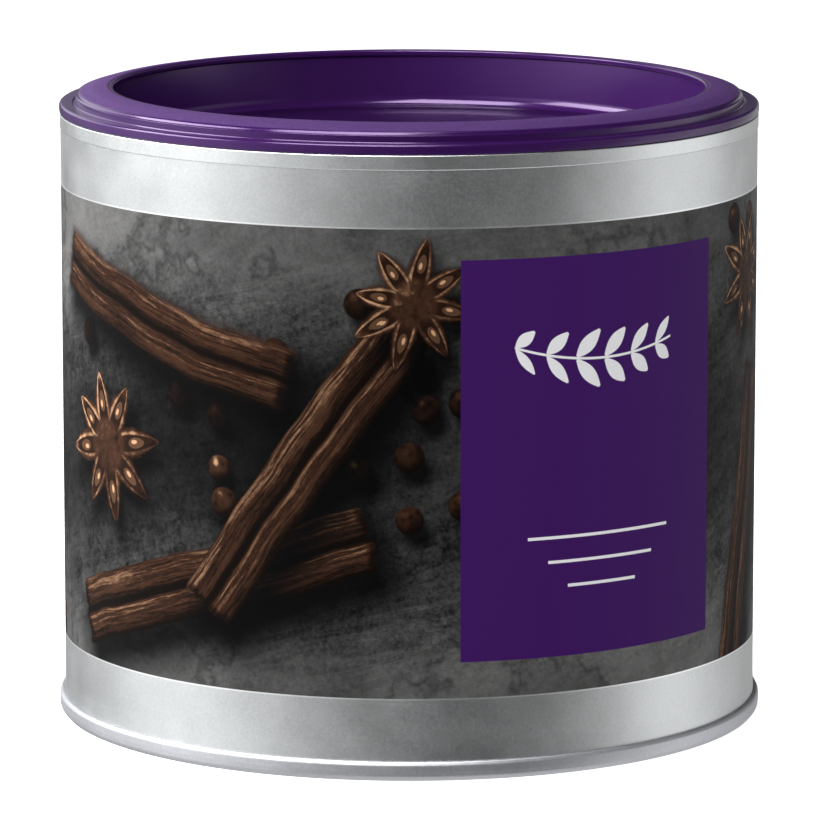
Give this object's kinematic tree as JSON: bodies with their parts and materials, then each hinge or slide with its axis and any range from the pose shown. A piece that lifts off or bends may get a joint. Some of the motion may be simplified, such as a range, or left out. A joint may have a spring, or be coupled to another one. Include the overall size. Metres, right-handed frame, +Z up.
{
  "type": "spice tin",
  "caption": "Round spice tin: foil-wrapped board tube with a printed band, crimped rim, seamed metal base and a violet plug lid with a raised ring and a recess.",
  "frame": {"origin": "middle of the circle that the tin stands on", "axes": "+Z up along the tin's axis, -Y towards the side between the picture and the violet panel, +X to its right"},
  "size_m": [0.1006, 0.1006, 0.0897],
  "materials": {
    "violet_plastic": "glossy moulded violet plastic, finely matte on the ring's top",
    "rim_metal": "satin silver",
    "printed_foil": "satin silver foil with a matte printed band",
    "grey_board": "raw spiral-wound board",
    "liner_foil": "smooth silver foil",
    "tinplate": "satin tinplate"
  },
  "bodies": {
    "root": {"lid": "violet_plastic", "rim_ring": "rim_metal", "printed_wrap": "printed_foil", "board_tube": "grey_board", "foil_liner": "liner_foil", "bottom_end": "tinplate"}
  },
  "joints": []
}
